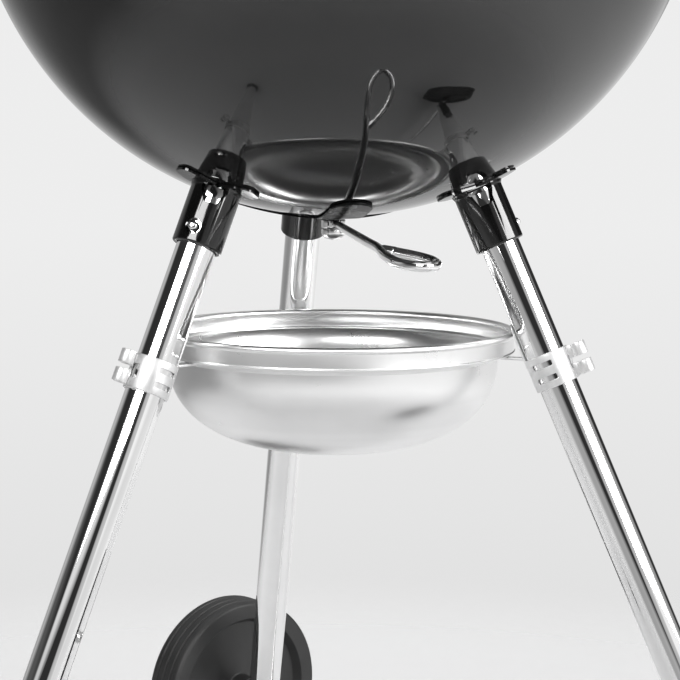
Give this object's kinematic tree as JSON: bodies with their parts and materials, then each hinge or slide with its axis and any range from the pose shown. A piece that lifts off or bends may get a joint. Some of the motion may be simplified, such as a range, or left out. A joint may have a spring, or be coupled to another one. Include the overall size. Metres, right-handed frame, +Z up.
{
  "type": "kettle charcoal grill",
  "caption": "Round kettle grill on a splayed tripod with a lid, grates, turning bottom dampers worked by a wire lever, and an ash pan hung between the legs.",
  "frame": {"origin": "centre of the whole grill's box, on the floor", "axes": "+Z up; the front is -Y; the plain leg stands at -X and the two wheels at +X"},
  "size_m": [0.6262, 0.641, 0.884],
  "materials": {
    "enamel": "glossy black porcelain enamel",
    "black_paint": "glossy black paint",
    "leg_metal": "bright polished tube",
    "chrome": "bright plated",
    "pan_aluminium": "satin",
    "damper_aluminium": "satin",
    "clip_metal": "light satin",
    "plated_steel": "bright zinc plate",
    "handle_nylon": "fine moulded texture",
    "foot_rubber": "moulded, matte",
    "wheel_plastic": "moulded, matte"
  },
  "bodies": {
    "stand": {"bowl": "enamel", "leg_plain": "leg_metal", "leg_wheel_front": "leg_metal", "leg_wheel_back": "leg_metal", "leg_socket_plain": "black_paint", "leg_socket_wheel_front": "black_paint", "leg_socket_wheel_back": "black_paint", "pan_clip_plain": "clip_metal", "pan_clip_wheel_front": "clip_metal", "pan_clip_wheel_back": "clip_metal", "foot_cap": "foot_rubber", "axle": "plated_steel", "hub_cap_front": "chrome", "hub_cap_back": "chrome", "spindle_bush": "plated_steel", "grate_tab_1": "enamel", "grate_tab_2": "enamel", "grate_tab_3": "enamel", "bowl_handle_right": "handle_nylon", "bowl_handle_left": "handle_nylon", "handle_screw_right_1": "plated_steel", "handle_screw_right_2": "plated_steel", "handle_screw_left_1": "plated_steel", "handle_screw_left_2": "plated_steel"},
    "lid": {"lid": "enamel", "lid_handle": "handle_nylon", "lid_screw_1": "plated_steel", "lid_screw_2": "plated_steel", "lid_hook": "plated_steel", "damper_rivet": "chrome"},
    "lid_vent": {"lid_damper": "damper_aluminium"},
    "sweeper": {"damper_blades": "black_paint", "ash_sweeper": "plated_steel", "spindle": "plated_steel", "sweeper_nut": "plated_steel", "cap_nut": "chrome", "damper_lever": "chrome"},
    "cooking_grate": {"cooking_grate": "plated_steel", "grate_grip_right": "plated_steel", "grate_grip_left": "plated_steel"},
    "charcoal_grate": {"charcoal_grate": "plated_steel"},
    "ash_pan": {"ash_pan": "pan_aluminium"},
    "wheel_front": {"wheel_front": "wheel_plastic"},
    "wheel_back": {"wheel_back": "wheel_plastic"},
    "button_plain": {"spring_button_plain": "chrome"},
    "button_wheel_front": {"spring_button_wheel_front": "chrome"},
    "button_wheel_back": {"spring_button_wheel_back": "chrome"}
  },
  "joints": [
    {"name": "lid_lift", "type": "slide", "parent": "stand", "child": "lid", "axis": [0, 0, 1], "range_m": [0, 0.2]},
    {"name": "lid_vent_turn", "type": "hinge", "parent": "lid", "child": "lid_vent", "pos_m": [0.03413, 0, 0.582], "axis": [0, 0.4762, 0.8793], "range_deg": [0, 45]},
    {"name": "sweep_turn", "type": "hinge", "parent": "stand", "child": "sweeper", "pos_m": [0.03413, 0, 0.488], "axis": [0, 0, 1], "range_deg": [-30, 30]},
    {"name": "cooking_grate_lift", "type": "slide", "parent": "stand", "child": "cooking_grate", "axis": [0, 0, 1], "range_m": [0, 0.038]},
    {"name": "charcoal_grate_lift", "type": "slide", "parent": "stand", "child": "charcoal_grate", "axis": [0, 0, 1], "range_m": [0, 0.04]},
    {"name": "ash_pan_lift", "type": "slide", "parent": "stand", "child": "ash_pan", "axis": [0, 0, 1], "range_m": [0, 0.003]},
    {"name": "wheel_front_spin", "type": "hinge", "parent": "stand", "child": "wheel_front", "pos_m": [0.18109, 0, 0.076], "axis": [0, 1, 0], "continuous": true},
    {"name": "wheel_back_spin", "type": "hinge", "parent": "stand", "child": "wheel_back", "pos_m": [0.18109, 0, 0.076], "axis": [0, 1, 0], "continuous": true},
    {"name": "button_plain_press", "type": "slide", "parent": "stand", "child": "button_plain", "axis": [0.7899, 0.5, -0.355], "range_m": [0, 0.0055], "stiffness_N_per_m": 600, "springref_m": -0.008},
    {"name": "button_wheel_front_press", "type": "slide", "parent": "stand", "child": "button_wheel_front", "axis": [-0.828, 0.4341, -0.355], "range_m": [0, 0.0055], "stiffness_N_per_m": 600, "springref_m": -0.008},
    {"name": "button_wheel_back_press", "type": "slide", "parent": "stand", "child": "button_wheel_back", "axis": [0.0381, -0.9341, -0.355], "range_m": [0, 0.0055], "stiffness_N_per_m": 600, "springref_m": -0.008}
  ]
}
